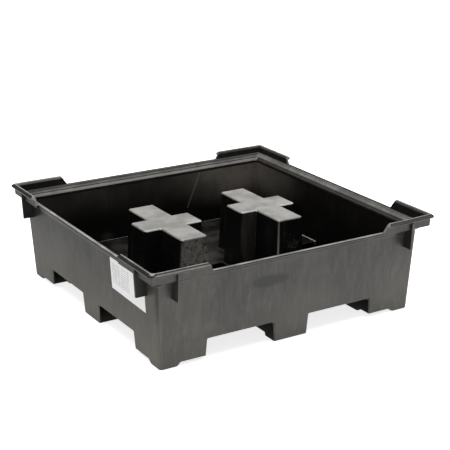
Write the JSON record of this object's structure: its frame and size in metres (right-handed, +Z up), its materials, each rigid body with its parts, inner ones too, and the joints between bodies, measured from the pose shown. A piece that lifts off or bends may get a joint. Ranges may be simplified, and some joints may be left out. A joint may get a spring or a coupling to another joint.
{
  "type": "spill containment pallet",
  "caption": "Low square plastic sump with raised corner ears, hollow feet for forklift access and cross-shaped pillars that carry a grate.",
  "frame": {"origin": "on the ground under the middle of the sump", "axes": "+Z up, +X along the front wall to the right, +Y from the front wall to the back wall"},
  "size_m": [1.251, 1.251, 0.3964],
  "materials": {
    "black_polyethylene": "worn satin black moulding, dusty with fine scuffs",
    "label_film": "matt white adhesive label with plain grey blocks"
  },
  "bodies": {
    "root": {"sump_floor": "black_polyethylene", "foot_front_left": "black_polyethylene", "foot_front_middle": "black_polyethylene", "foot_front_right": "black_polyethylene", "foot_middle_left": "black_polyethylene", "foot_centre": "black_polyethylene", "foot_middle_right": "black_polyethylene", "foot_back_left": "black_polyethylene", "foot_back_middle": "black_polyethylene", "foot_back_right": "black_polyethylene", "wall_front": "black_polyethylene", "wall_back": "black_polyethylene", "wall_left": "black_polyethylene", "wall_right": "black_polyethylene", "rim_front": "black_polyethylene", "rim_back": "black_polyethylene", "rim_left": "black_polyethylene", "rim_right": "black_polyethylene", "corner_ear_front_left": "black_polyethylene", "corner_ear_front_right": "black_polyethylene", "corner_ear_back_left": "black_polyethylene", "corner_ear_back_right": "black_polyethylene", "gusset_front_wall_left": "black_polyethylene", "gusset_left_wall_front": "black_polyethylene", "gusset_front_wall_right": "black_polyethylene", "gusset_right_wall_front": "black_polyethylene", "gusset_back_wall_left": "black_polyethylene", "gusset_left_wall_back": "black_polyethylene", "gusset_back_wall_right": "black_polyethylene", "gusset_right_wall_back": "black_polyethylene", "pillar_left": "black_polyethylene", "pillar_right": "black_polyethylene", "wall_label": "label_film"}
  },
  "joints": []
}
